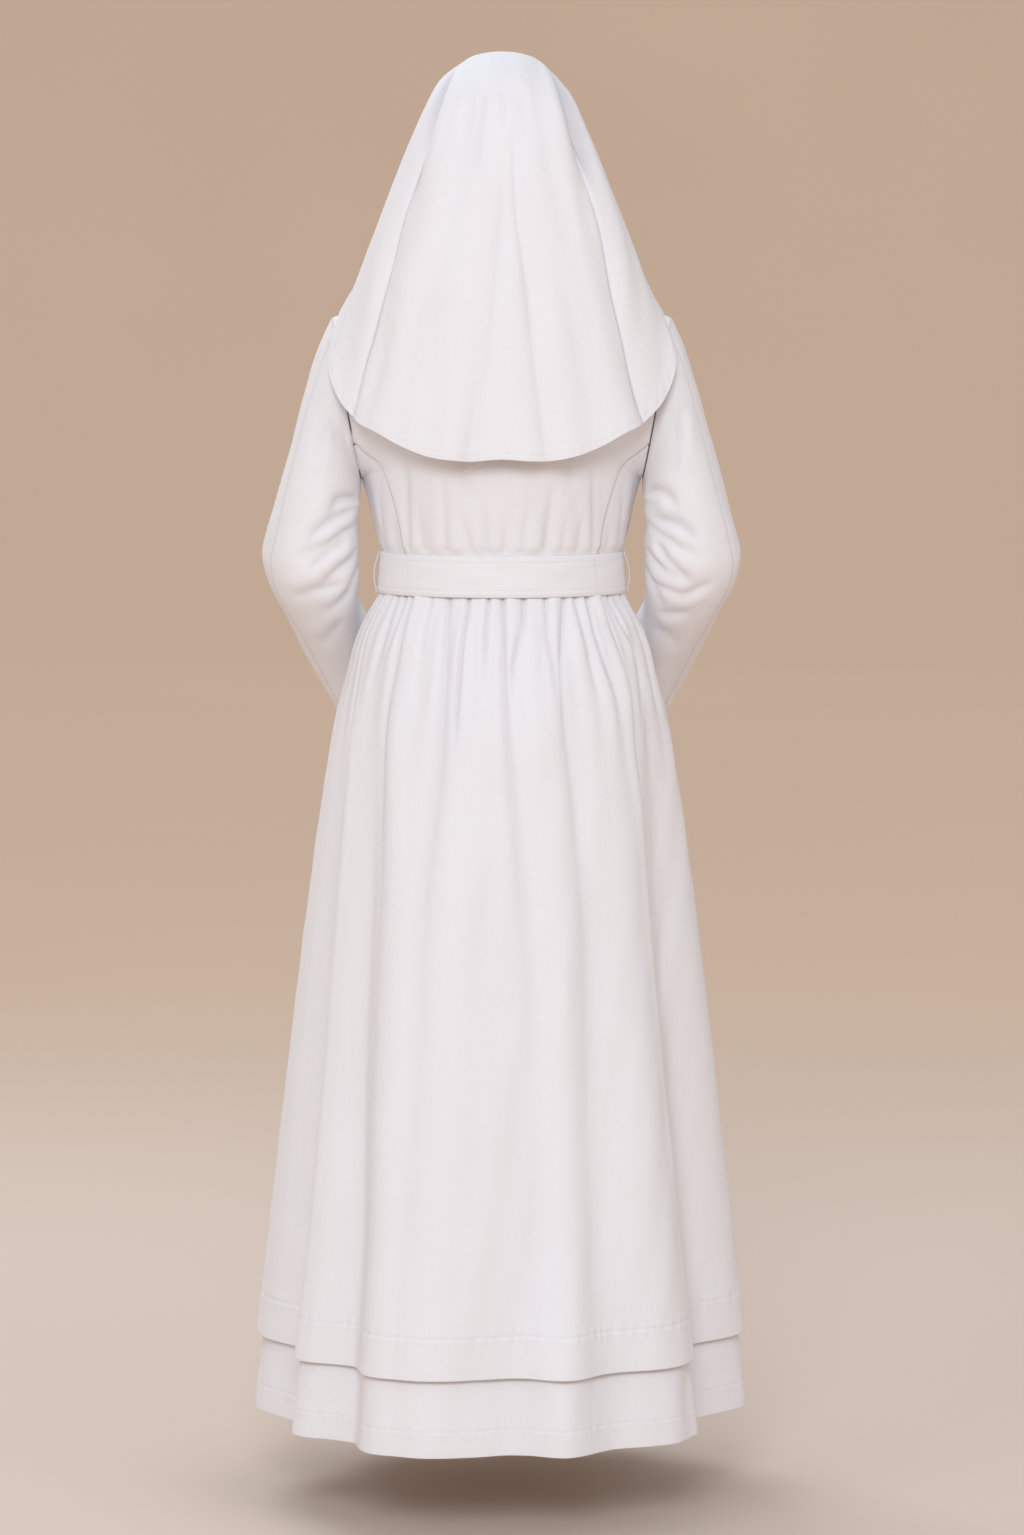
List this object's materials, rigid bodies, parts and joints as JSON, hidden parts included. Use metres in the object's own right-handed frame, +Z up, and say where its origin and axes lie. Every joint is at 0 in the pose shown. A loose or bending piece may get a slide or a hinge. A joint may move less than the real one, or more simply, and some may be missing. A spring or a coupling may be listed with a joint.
{
  "type": "nun habit",
  "caption": "White nun habit in its worn shape: long veil over a long-sleeved dress with a wide belt, gathered overskirt and longer underskirt, open at neck, cuffs and hem.",
  "frame": {"origin": "in the middle of the neck opening, on the upright axis of the worn dress, at shoulder height: the place from which neck and shoulders hold the habit up", "axes": "+Z up, -Y to the front of the habit, +X to its left side"},
  "size_m": [0.5852, 0.5762, 1.5936],
  "materials": {
    "veil_cloth": "matte plain weave with a soft sheen",
    "dress_cloth": "matte plain weave with a soft sheen",
    "belt_cloth": "matte plain weave, doubled and stitched",
    "underskirt_cloth": "matte plain weave with a soft sheen"
  },
  "bodies": {
    "root": {"veil": "veil_cloth", "bodice_front": "dress_cloth", "bodice_back_centre": "dress_cloth", "bodice_side_back_left": "dress_cloth", "bodice_side_back_right": "dress_cloth", "sleeve_top_left": "dress_cloth", "sleeve_top_right": "dress_cloth", "sleeve_under_left": "dress_cloth", "sleeve_under_right": "dress_cloth", "belt": "belt_cloth", "belt_loop_left": "belt_cloth", "belt_loop_right": "belt_cloth", "overskirt_back": "dress_cloth", "overskirt_front": "dress_cloth", "underskirt_back": "underskirt_cloth", "underskirt_front": "underskirt_cloth"}
  },
  "joints": []
}
